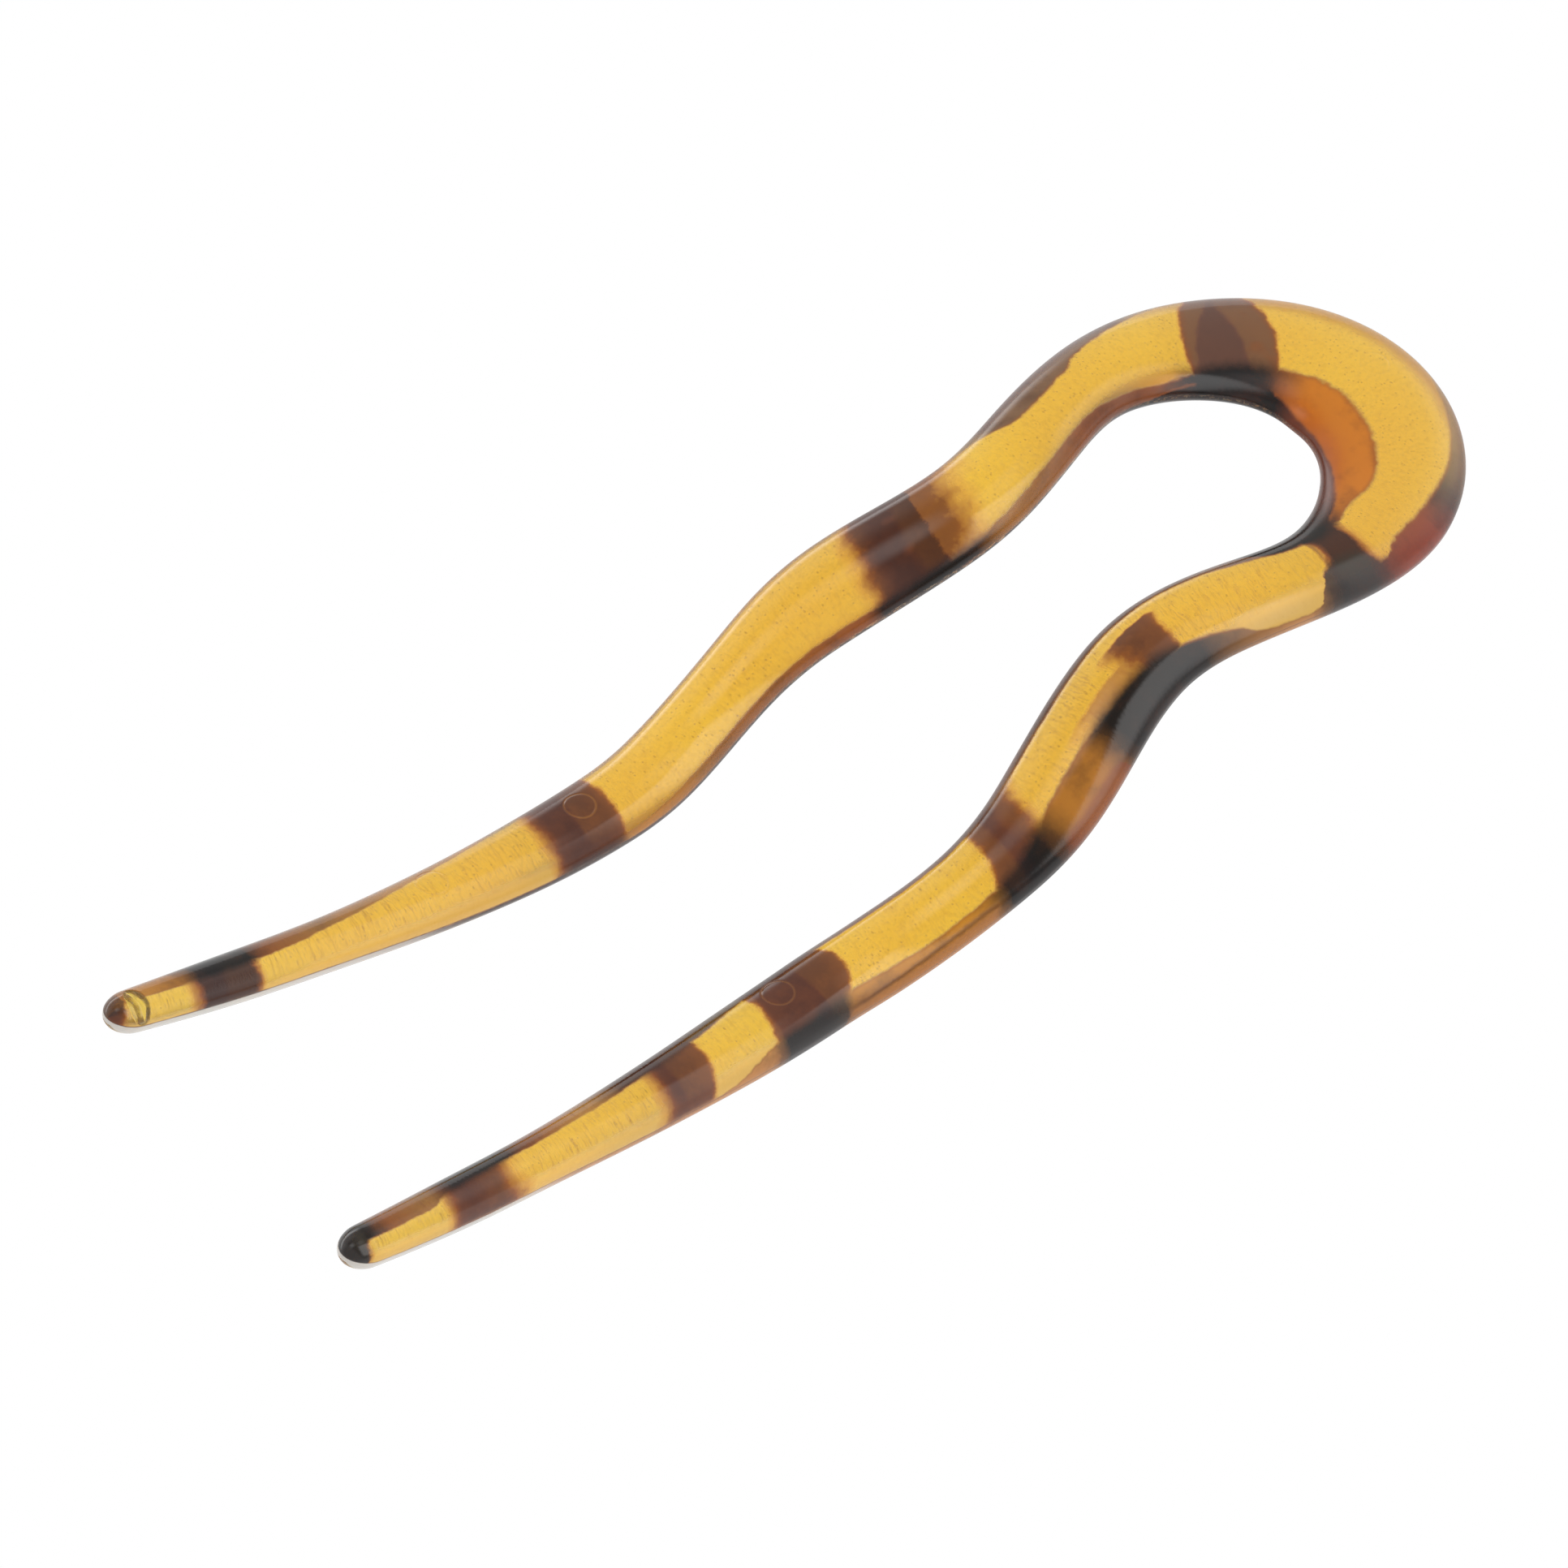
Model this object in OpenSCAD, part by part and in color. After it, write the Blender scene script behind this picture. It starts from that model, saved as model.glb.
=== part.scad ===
// U-shaped hair pin, moulded in one piece: two waved legs that taper to blunt tips,
// joined by a broad bow. The section is oval everywhere. Seen from above the legs pinch
// in, swell out, and close to a waist below the bow. Seen from the side the pin is a long
// wave: it rests on the trough of its legs and on the outer edge of its bow.
// Lengths are in millimetres. X runs from the tips to the bow, and Z is up.

/* [Seen from above] */
// Overall length, from the tips to the outer edge of the bow
pin_length = 124; // [110:1:140]
// Distance between the leg centre lines at the tips
tips_apart = 25.4; // [23:0.2:29]
// Distance between the leg centre lines at the pinch behind the tips
pinch_apart = 23; // [21:0.2:26]
// Distance between the leg centre lines at the belly
belly_apart = 26.4; // [24:0.2:30]
// Distance between the leg centre lines at the waist below the bow
waist_apart = 19.6; // [17:0.2:23]
// Distance between the centre lines of the two sides of the bow
bow_apart = 25.4; // [22:0.2:29]

/* [Seen from the side] */
// Height of the tips above the trough of the legs
tip_rise = 22; // [14:0.5:28]
// Height of the hump in front of the bow above the trough of the legs
hump_rise = 7; // [4:0.25:10]
// Height of the bow end below the trough of the legs, along the centre line
bow_dip = 0.7; // [0:0.1:1.5]

/* [Section] */
// Width of a leg at its tip
tip_wide = 3.1; // [2.4:0.1:4]
// Thickness of a leg at its tip
tip_thick = 2.8; // [2.4:0.1:4]
// Width of a leg at its widest
leg_wide = 8.4; // [6.5:0.1:10]
// Thickness of a leg at its thickest
leg_thick = 4.8; // [4:0.1:6]
// Width of the bow at its crown
crown_wide = 14; // [10:0.1:16]
// Thickness of the bow at its crown
crown_thick = 3.8; // [3:0.1:5]
// Length of the rounding at each tip
tip_round = 1.8; // [0.8:0.1:2.4]

/* [Smoothness] */
// Points around one section
sides = 20; // [12:4:28]
// Distance between sections along the legs
section_gap = 1.6; // [1.4:0.1:3]
// Angle between sections around the bow
bow_step = 4.5; // [4.5:0.5:9]

/* [Hidden] */
amber = [0.86, 0.56, 0.13];

// Where the outline turns, as shares of the overall length
PINCH_AT = 0.37;
BELLY_AT = 0.53;
WAIST_AT = 0.67;
SHOULDER_AT = 0.81;

// Where the side wave turns, as shares of the overall length
TROUGH_AT = 0.41;
HUMP_AT = 0.69;
DIP_AT = 1;
// How the tips curl up from the trough: 1 is straight and 2 is a parabola
TIP_CURL = 1.5;

// Half of the distance between the legs, from the tips to the shoulder of the bow
SPREAD_X = 0;
SPREAD_Y = 1;
spread_rows = [
    [0, tips_apart / 2],
    [PINCH_AT * pin_length, pinch_apart / 2],
    [BELLY_AT * pin_length, belly_apart / 2],
    [WAIST_AT * pin_length, waist_apart / 2],
    [SHOULDER_AT * pin_length, bow_apart / 2],
];

// Section along the pin. AT is a share of the way from the tip to the crown, WIDE and THICK
// go from the tip's size at 0 to the leg's at 1, and CROWN goes on from there to the crown's.
AT = 0;
WIDE = 1;
THICK = 2;
CROWN = 3;
section_rows = [
    [0.00, 0.00, 0.00, 0.00],
    [0.08, 0.15, 0.30, 0.00],
    [0.16, 0.22, 0.45, 0.00],
    [0.25, 0.42, 0.60, 0.00],
    [0.34, 0.62, 0.70, 0.00],
    [0.43, 0.69, 0.85, 0.00],
    [0.52, 0.71, 0.95, 0.00],
    [0.60, 1.00, 1.00, 0.00],
    [0.68, 0.97, 0.95, 0.00],
    [0.77, 0.87, 0.80, 0.00],
    [0.85, 0.87, 0.75, 0.00],
    [0.94, 1.00, 0.85, 0.48],
    [1.00, 1.00, 1.00, 1.00],
];

// Runs from 0 to 1 with a level start and end
function ease(share) = (1 - cos(180 * share)) / 2;

// Smooth curve through one column of a table, against the table's first column
function row_below(rows, x, i = 0) =
    i >= len(rows) - 2 || x < rows[i + 1][0] ? i : row_below(rows, x, i + 1);
function rise_at(rows, column, i) =
    let (a = max(i - 1, 0), b = min(i + 1, len(rows) - 1))
    (rows[b][column] - rows[a][column]) / (rows[b][0] - rows[a][0]);
function smooth(rows, column, x, level_end = false) =
    let (
        i = row_below(rows, x),
        gap = rows[i + 1][0] - rows[i][0],
        t = (x - rows[i][0]) / gap,
        start_rise = rise_at(rows, column, i) * gap,
        end_rise = level_end && i == len(rows) - 2 ? 0 : rise_at(rows, column, i + 1) * gap
    )
    rows[i][column] * (1 + 2 * t) * (1 - t) * (1 - t)
    + start_rise * t * (1 - t) * (1 - t)
    + rows[i + 1][column] * t * t * (3 - 2 * t)
    + end_rise * t * t * (t - 1);

// Side wave: height of the centre line over the trough, and its slope
function lift(x) =
    let (trough = TROUGH_AT * pin_length, hump = HUMP_AT * pin_length, dip = DIP_AT * pin_length)
    x < trough ? tip_rise * pow((trough - x) / trough, TIP_CURL)
    : x < hump ? hump_rise * ease((x - trough) / (hump - trough))
    : x < dip ? hump_rise - (hump_rise + bow_dip) * ease((x - hump) / (dip - hump))
    : -bow_dip;
slope_step = pin_length / 5000;
function slope(x) = (lift(x + slope_step) - lift(x - slope_step)) / (2 * slope_step);

// The bow is half an oval in plan, from the shoulders round the crown
shoulder_x = SHOULDER_AT * pin_length;
crown_lean = atan(slope(pin_length - crown_wide / 2));
crown_reach = norm([crown_wide / 2 * cos(crown_lean), crown_thick / 2 * sin(crown_lean)]);
crown_x = pin_length - crown_reach;

function leg_point(x) = [x, smooth(spread_rows, SPREAD_Y, x, true), lift(x)];
function bow_point(angle) =
    let (x = shoulder_x + (crown_x - shoulder_x) * sin(angle))
    [x, bow_apart / 2 * cos(angle), lift(x)];

// One leg from its tip to the crown, as [centre, fullness] with fullness 1 past the tip
tip_angles = [20:20:80];
leg_steps = ceil((shoulder_x - tip_round) / section_gap);
half_path = concat(
    [for (angle = tip_angles) [leg_point(tip_round * (1 - cos(angle))), sin(angle)]],
    [for (i = [0:leg_steps - 1]) [leg_point(tip_round + (shoulder_x - tip_round) * i / leg_steps), 1]],
    [for (angle = [0:bow_step:90]) [bow_point(angle), 1]]
);
function across(point) = [point[0], -point[1], point[2]];
half_count = len(half_path);
path = concat(
    half_path,
    [for (i = [half_count - 2:-1:0]) [across(half_path[i][0]), half_path[i][1]]]
);
end_points = [leg_point(0), across(leg_point(0))];

// Size of the section at a place along the pin
function section_share(column, x) = smooth(section_rows, column, x / crown_x);
function section_wide(x) =
    tip_wide + section_share(WIDE, x) * (leg_wide - tip_wide)
    + section_share(CROWN, x) * (crown_wide - leg_wide);
function section_thick(x) =
    tip_thick + section_share(THICK, x) * (leg_thick - tip_thick)
    + section_share(CROWN, x) * (crown_thick - leg_thick);

// Oval ring number i: it stands square to the path and leans with the side wave
function unit(v) = v / norm(v);
function ring(i) =
    let (
        centre = path[i][0],
        before = i == 0 ? end_points[0] : path[i - 1][0],
        after = i == len(path) - 1 ? end_points[1] : path[i + 1][0],
        up = unit([-slope(centre[0]), 0, 1]),
        out = unit(cross(up, after - before)),
        half_wide = section_wide(centre[0]) / 2 * path[i][1],
        half_thick = section_thick(centre[0]) / 2 * path[i][1]
    )
    [for (k = [0:sides - 1])
        centre + out * half_wide * cos(360 * k / sides) + up * half_thick * sin(360 * k / sides)];

ring_count = len(path);
skin = [for (i = [0:ring_count - 1]) each ring(i)];
points = concat(skin, end_points);
first_end = len(skin);
last_end = first_end + 1;

function corner(i, k) = i * sides + k % sides;
side_faces = [
    for (i = [0:ring_count - 2], k = [0:sides - 1]) each [
        [corner(i, k), corner(i + 1, k), corner(i + 1, k + 1)],
        [corner(i, k), corner(i + 1, k + 1), corner(i, k + 1)],
    ]
];
end_faces = [
    for (k = [0:sides - 1]) each [
        [first_end, corner(0, k), corner(0, k + 1)],
        [last_end, corner(ring_count - 1, k + 1), corner(ring_count - 1, k)],
    ]
];

// The pin stands on the ground, with the origin below the middle of its box
lowest = min([for (p = points) p[2]]);
middle = (min([for (p = points) p[0]]) + max([for (p = points) p[0]])) / 2;

module hair_pin() {
    color(amber)
        translate([-middle, 0, -lowest])
            polyhedron(points, concat(side_faces, end_faces));
}

hair_pin();
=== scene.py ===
from collections import namedtuple
from math import cos, pi, radians, sin, sqrt

import bmesh
import bpy
from bpy.props import FloatProperty, FloatVectorProperty, IntProperty, PointerProperty
from bpy.types import Operator, Panel, PropertyGroup
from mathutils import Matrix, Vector, noise
from mathutils.bvhtree import BVHTree


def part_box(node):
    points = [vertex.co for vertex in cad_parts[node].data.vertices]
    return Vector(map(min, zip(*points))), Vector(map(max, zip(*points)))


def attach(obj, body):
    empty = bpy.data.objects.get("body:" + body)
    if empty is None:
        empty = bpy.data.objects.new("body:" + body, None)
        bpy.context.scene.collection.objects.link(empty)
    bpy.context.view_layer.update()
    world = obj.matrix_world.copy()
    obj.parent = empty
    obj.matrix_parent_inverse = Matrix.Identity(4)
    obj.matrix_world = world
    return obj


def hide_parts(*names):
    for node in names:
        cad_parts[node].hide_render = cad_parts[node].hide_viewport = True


bl_info = {
    "name": "French Hair Pin",
    "version": (1, 0, 0),
    "blender": (4, 5, 0),
    "location": "View3D > Sidebar > Hair Pin",
    "description": "Dresses a moulded hair pin in polished tortoiseshell plastic",
    "category": "Add Mesh",
}

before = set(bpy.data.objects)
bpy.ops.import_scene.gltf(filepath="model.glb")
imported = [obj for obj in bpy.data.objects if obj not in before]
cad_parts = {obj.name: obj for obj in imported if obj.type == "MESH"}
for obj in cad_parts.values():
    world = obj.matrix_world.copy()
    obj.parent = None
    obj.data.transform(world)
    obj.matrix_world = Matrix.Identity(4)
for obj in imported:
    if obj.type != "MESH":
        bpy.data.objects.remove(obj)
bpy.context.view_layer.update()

NODE = "hair_pin"
MM = 0.001


class SkinSettings(PropertyGroup):
    """Sizes of the pin's smooth skin and of the marks that the mould left on it."""

    smoothness: IntProperty(
        name="Smoothness", description="Subdivision levels of the skin", default=2, min=1, max=3
    )
    ejector_radius: FloatProperty(
        name="Ejector Radius", description="Radius of the round marks of the ejector pins",
        subtype="DISTANCE", unit="LENGTH", default=1.25 * MM,
    )
    ejector_depth: FloatProperty(
        name="Ejector Depth", description="Depth of the round marks of the ejector pins",
        subtype="DISTANCE", unit="LENGTH", default=0.025 * MM,
    )
    gate_depth: FloatProperty(
        name="Gate Depth", description="Depth of the torn scar where the plastic ran in",
        subtype="DISTANCE", unit="LENGTH", default=0.36 * MM,
    )
    parting_depth: FloatProperty(
        name="Parting Depth", description="Depth of the line where the halves of the mould met",
        subtype="DISTANCE", unit="LENGTH", default=0.035 * MM,
    )


class PlasticSettings(PropertyGroup):
    """Colours and clearness of the tortoiseshell plastic."""

    amber: FloatVectorProperty(
        name="Amber", description="Colour of the clear plastic",
        subtype="COLOR", size=3, min=0, max=1, default=(0.94, 0.72, 0.30),
    )
    deep_amber: FloatVectorProperty(
        name="Deep Amber", description="Colour of the warmer clouds in the clear plastic",
        subtype="COLOR", size=3, min=0, max=1, default=(0.93, 0.66, 0.24),
    )
    brown: FloatVectorProperty(
        name="Brown", description="Colour of the middle of the dark bands",
        subtype="COLOR", size=3, min=0, max=1, default=(0.135, 0.042, 0.023),
    )
    clearness: FloatProperty(
        name="Clearness", description="Share of the light that passes into the amber plastic",
        subtype="FACTOR", min=0, max=1, default=0.93,
    )
    band_clearness: FloatProperty(
        name="Band Clearness", description="Share of the light that passes into the darkest plastic",
        subtype="FACTOR", min=0, max=1, default=0.04,
    )
    # Clearness of the milky sides and the pale strip, which carry painted light
    milky_lit_clearness: FloatProperty(
        name="Milky Clearness", description="Share of the light that passes into the milky plastic",
        subtype="FACTOR", min=0, max=1, default=0.2,
    )
    depth_tint: FloatVectorProperty(
        name="Depth Tint", description="Colour that light takes on inside the plastic",
        subtype="COLOR", size=3, min=0, max=1, default=(0.9925, 0.88, 0.01),
    )
    depth_density: FloatProperty(
        name="Depth Density", description="How fast light takes on the tint, per metre",
        min=0, default=440,
    )
    roughness: FloatProperty(
        name="Roughness", description="Roughness of the polish",
        subtype="FACTOR", min=0, max=1, default=0.08,
    )
    side_roughness: FloatProperty(
        name="Side Roughness", description="Roughness of the sides, which are polished less",
        subtype="FACTOR", min=0, max=1, default=0.26,
    )
    relief: FloatProperty(
        name="Relief", description="Height of the fine waves and scratches of the surface",
        subtype="DISTANCE", unit="LENGTH", min=0, default=0.000012,
    )
    bending: FloatProperty(
        name="Bending", description="Index of refraction of the plastic", min=1, max=2, default=1.49,
    )
    edge_wander: FloatProperty(
        name="Edge Wander", description="How far the pattern's edges stray",
        subtype="DISTANCE", unit="LENGTH", min=0, default=0.0011,
    )


class StageSettings(PropertyGroup):
    """The camera's place and the studio's light."""

    azimuth: FloatProperty(
        name="Azimuth", description="How far the camera looks away from the pin's side",
        subtype="ANGLE", default=radians(43.4),
    )
    elevation: FloatProperty(
        name="Elevation", description="How steeply the camera looks down",
        subtype="ANGLE", default=radians(58.04),
    )
    distance: FloatProperty(
        name="Distance", description="From the camera to the point that it looks at",
        subtype="DISTANCE", unit="LENGTH", default=0.3746,
    )
    target: FloatVectorProperty(
        name="Target", description="Point of the ground that the camera looks at",
        subtype="TRANSLATION", unit="LENGTH", size=3, default=(-0.00364, 0.00516, 0),
    )
    lens: FloatProperty(
        name="Lens", description="Focal length", subtype="DISTANCE_CAMERA", unit="CAMERA", default=109.9,
    )
    floor_reach: FloatProperty(
        name="Floor Reach", description="How far the floor goes from the pin",
        subtype="DISTANCE", unit="LENGTH", default=3.0,
    )
    floor_glow: FloatProperty(
        name="Floor Glow", description="Light that the floor gives off by itself",
        min=0, default=1.0,
    )
    backdrop_glow: FloatProperty(
        name="Backdrop Glow", description="Brightness of what the camera sees behind the floor",
        min=0, default=1.0,
    )


def new_piece(name, bm):
    mesh = bpy.data.meshes.new(name)
    bm.to_mesh(mesh)
    bm.free()
    piece = bpy.data.objects.new(name, mesh)
    bpy.context.collection.objects.link(piece)
    return piece


def shade_smooth(mesh):
    mesh.polygons.foreach_set("use_smooth", [True] * len(mesh.polygons))


# Points of the solid that lie closer than this are one
MERGE_GAP = 0.005 * MM
# Points of two rings lie on one line along the pin if their places round it differ by less
SAME_LINE = 0.02
# Subdivision levels that the fine surface under the marks has beyond the skin's
FINE_LEVELS = 2
QUAD = 4


def walk_rings(bm):
    """Rings of vertices from the far tip round the bow to the near tip, with the two end points."""
    ends = sorted(bm.verts, key=lambda v: len(v.link_edges))[-2:]
    first = max(ends, key=lambda v: v.co.y)
    rings, seen, front = [], {first}, [first]
    while front:
        rings.append(front)
        front = list({e.other_vert(v) for v in front for e in v.link_edges} - seen)
        seen.update(front)
    return rings


def ring_centre(ring):
    return sum((v.co for v in ring), Vector()) / len(ring)


def ring_axes(ring, centre, spine_start, spine_end):
    """The half axis of a ring that points away from the gap, and the one that points up."""
    wide = max(((v.co - centre) for v in ring), key=lambda arm: arm.length)
    thick = min(((v.co - centre) for v in ring), key=lambda arm: arm.length)

    def from_spine(p):
        x = min(max(p.x, spine_start), spine_end)
        return sqrt((p.x - x) ** 2 + p.y ** 2)

    if from_spine(centre + wide) < from_spine(centre - wide):
        wide = -wide
    if thick.z < 0:
        thick = -thick
    return wide, thick


def ring_fullness(sides):
    """How much larger a ring starts, because subdividing it pulls it in."""
    return 1 / (2 / 3 + cos(2 * pi / sides) / 3)


def chart_rings(bm):
    """Writes where each point lies along and round the pin, and gives the number of its ring."""
    along = bm.verts.layers.float.new("along")
    across = bm.verts.layers.float.new("across")
    height = bm.verts.layers.float.new("height")
    rings = walk_rings(bm)
    lo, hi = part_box(NODE)
    loop_centre = hi.x - (hi.y - lo.y) / 2
    fullness = ring_fullness(len(rings[1]))
    distance = 0.0
    last = ring_centre(rings[0])
    ring_numbers = {}
    for number, ring in enumerate(rings):
        centre = ring_centre(ring)
        distance += (centre - last).length
        last = centre
        for v in ring:
            v[along] = distance / MM
        if len(ring) == 1:
            continue
        wide, thick = ring_axes(ring, centre, lo.x, loop_centre)
        for v in ring:
            arm = v.co - centre
            v[across] = arm.dot(wide) / wide.length_squared
            v[height] = arm.dot(thick) / thick.length_squared
            ring_numbers[v] = number
            v.co = centre + arm * fullness
    return ring_numbers


def drop_diagonals(bm, ring_numbers):
    """Joins the triangles between two rings to quads, which subdivide evenly."""
    across = bm.verts.layers.float["across"]
    height = bm.verts.layers.float["height"]
    leaning = []
    for e in bm.edges:
        a, b = e.verts
        if a not in ring_numbers or b not in ring_numbers or ring_numbers[a] == ring_numbers[b]:
            continue
        if abs(a[across] - b[across]) + abs(a[height] - b[height]) > SAME_LINE:
            leaning.append(e)
    bmesh.ops.dissolve_edges(bm, edges=leaning, use_verts=False)


def rounded(rough, levels, graph):
    """The smooth mesh that subdividing the rough one gives."""
    rounder = rough.modifiers.new("Round", "SUBSURF")
    rounder.levels = rounder.render_levels = levels
    graph.update()
    mesh = bpy.data.meshes.new_from_object(rough.evaluated_get(graph))
    rough.modifiers.clear()
    return mesh


# Marks that the mould left, in millimetres. The ejector pins pushed straight up, so their rings are
# round from above. Line is half the width of a ring, and the skin is cut finer within the room.
Ring = namedtuple("Ring", "centre strength")
EJECTOR_RINGS = (
    Ring(Vector((-18.81, 11.91)), 0.55),
    Ring(Vector((-19.06, -10.48)), 0.8),
    Ring(Vector((58.0, -0.13)), 0.25),
    Ring(Vector((-33.26, 12.06)), 0.4),
)
RING_LINE = 0.11
RING_ROOM = 0.45
RING_CUTS = 5

# The gate is where the plastic ran in, at the far tip, also in millimetres
GATE_PLACE = Vector((-59.50, 11.98, 24.30))
GATE_LONG = 1.35
GATE_WIDE = 0.8
GATE_TURN = radians(16)
GATE_REACH = 2.0
GATE_ROOM = 0.5
GATE_CUTS = 2

# The scar of the gate, in shares of its half sizes: it falls away over the wall inside its rim, with
# a leaning ridge across its hole and a lip round it.
SCAR_RAGGED = 0.15
SCAR_END = 1.25
SCAR_RIM = 1.06
SCAR_WALL = 0.16
RIDGE_LEAN = 0.25
RIDGE_HALF = 0.5
LIP_AT = 1.12
LIP_HALF = 0.12

# Heights in the scar, in shares of the gate's depth, and the grain of its broken facets
SCAR_DEEP = 0.75
FACET_HIGH = 0.45
RIDGE_HIGH = 0.55
LIP_HIGH = 0.05
FACET_GRAIN = 1.1
FACET_START = Vector((3, 1, 7))

# The parting line: half its width in shares of the half thickness, and how its depth is worn
PARTING_HALF = 0.02
PARTING_WORN = 0.7
PARTING_UNEVEN = 0.6
PARTING_GRAIN = 0.9


def peak(gap, half):
    """Falls evenly from 1 where there is no gap to 0 at the half width."""
    return max(0.0, 1 - abs(gap) / half)


def ring_gap(co, ring, settings):
    """How far a point is from a ring's line, seen from above, in millimetres."""
    return (co.xy / MM - ring.centre).length - settings.ejector_radius / MM


def near_ring(face, settings):
    middle = face.calc_center_median()
    gaps = [abs(ring_gap(middle, ring, settings)) for ring in EJECTOR_RINGS]
    return face.normal.z > 0 and min(gaps) < RING_ROOM


def near_gate(face):
    away = face.calc_center_median() / MM - GATE_PLACE
    return away.length < GATE_LONG + GATE_ROOM


def refine(bm, faces, cuts, fine):
    """Cuts faces smaller and lays their new points on the fine surface."""
    edges = list({e for face in faces for e in face.edges})
    made = bmesh.ops.subdivide_edges(bm, edges=edges, cuts=cuts, use_grid_fill=True)
    for v in made["geom_inner"]:
        if isinstance(v, bmesh.types.BMVert):
            v.co = fine.find_nearest(v.co)[0]


def press_rings(bm, settings, mark):
    for v in bm.verts:
        if v.normal.z <= 0:
            continue
        for ring in EJECTOR_RINGS:
            pressed = max(0.0, 1 - (ring_gap(v.co, ring, settings) / RING_LINE) ** 2)
            if pressed:
                v.co -= v.normal * settings.ejector_depth * pressed
                v[mark] = pressed * ring.strength


def scar_axes(out):
    """The long way and the wide way of the scar, in the plane that faces out."""
    ahead = Vector((1, 0, 0))
    ahead = (ahead - out * ahead.dot(out)).normalized()
    side = out.cross(ahead)
    long_way = side * cos(GATE_TURN) + ahead * sin(GATE_TURN)
    wide_way = ahead * cos(GATE_TURN) - side * sin(GATE_TURN)
    return long_way, wide_way


def tear_gate(bm, settings, scar):
    """An oval hole with a ridge and broken facets in it."""
    centre = min(bm.verts, key=lambda v: (v.co / MM - GATE_PLACE).length)
    out = centre.normal.copy()
    start = centre.co.copy()
    long_way, wide_way = scar_axes(out)
    for v in [v for v in bm.verts if (v.co - start).length < GATE_REACH * MM]:
        arm = (v.co - start) / MM
        u = arm.dot(long_way) / GATE_LONG
        w = arm.dot(wide_way) / GATE_WIDE
        reach = sqrt(u * u + w * w) + SCAR_RAGGED * noise.noise(v.co / MM)
        if reach > SCAR_END:
            continue
        inside = min(1.0, max(0.0, (SCAR_RIM - reach) / SCAR_WALL))
        ridge = peak(w + RIDGE_LEAN * u, RIDGE_HALF)
        broken = noise.noise(v.co / MM * FACET_GRAIN + FACET_START)
        depth = inside * (SCAR_DEEP + FACET_HIGH * broken - RIDGE_HIGH * ridge)
        lip = LIP_HIGH * peak(reach - LIP_AT, LIP_HALF)
        v.co -= out * settings.gate_depth * (depth - lip)
        v[scar] = inside


def press_parting(bm, settings):
    height = bm.verts.layers.float["height"]
    for v in bm.verts:
        if abs(v[height]) < PARTING_HALF:
            worn = PARTING_WORN + PARTING_UNEVEN * noise.noise(v.co / MM * PARTING_GRAIN)
            v.co -= v.normal * settings.parting_depth * worn


def keep_on_ground(bm):
    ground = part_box(NODE)[0].z
    for v in bm.verts:
        v.co.z = max(v.co.z, ground)


def mark_skin(mesh, fine, settings):
    """Presses the mould's marks into the skin."""
    bm = bmesh.new()
    bm.from_mesh(mesh)
    mark = bm.verts.layers.float.new("mark")
    scar = bm.verts.layers.float.new("scar")
    press_parting(bm, settings)
    refine(bm, [f for f in bm.faces if near_ring(f, settings)], RING_CUTS, fine)
    refine(bm, [f for f in bm.faces if near_gate(f)], GATE_CUTS, fine)
    bm.normal_update()
    press_rings(bm, settings, mark)
    tear_gate(bm, settings, scar)
    keep_on_ground(bm)
    bmesh.ops.triangulate(bm, faces=[f for f in bm.faces if len(f.verts) > QUAD])
    bm.to_mesh(mesh)
    bm.free()


def surface_tree(mesh):
    """A mesh made ready for finding the nearest point on it; the mesh itself goes."""
    bm = bmesh.new()
    bm.from_mesh(mesh)
    tree = BVHTree.FromBMesh(bm)
    bm.free()
    bpy.data.meshes.remove(mesh)
    return tree


def smooth_skin(settings):
    bm = bmesh.new()
    bm.from_mesh(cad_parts[NODE].data)
    bmesh.ops.remove_doubles(bm, verts=bm.verts, dist=MERGE_GAP)
    ring_numbers = chart_rings(bm)
    drop_diagonals(bm, ring_numbers)
    bmesh.ops.recalc_face_normals(bm, faces=bm.faces)
    skin = new_piece("hair_pin_skin", bm)
    graph = bpy.context.evaluated_depsgraph_get()
    mesh = rounded(skin, settings.smoothness, graph)
    fine = surface_tree(rounded(skin, settings.smoothness + FINE_LEVELS, graph))
    mark_skin(mesh, fine, settings)
    skin.data = mesh
    shade_smooth(mesh)
    return skin


# A soft edge: the value where nothing shows yet, and the value where all of it does
Fade = namedtuple("Fade", "none full")
# A noise, with its scale in grains per metre, or per unit of the place that it is read at
Grain = namedtuple("Grain", "scale detail roughness", defaults=(0.0, 0.5))


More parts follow.
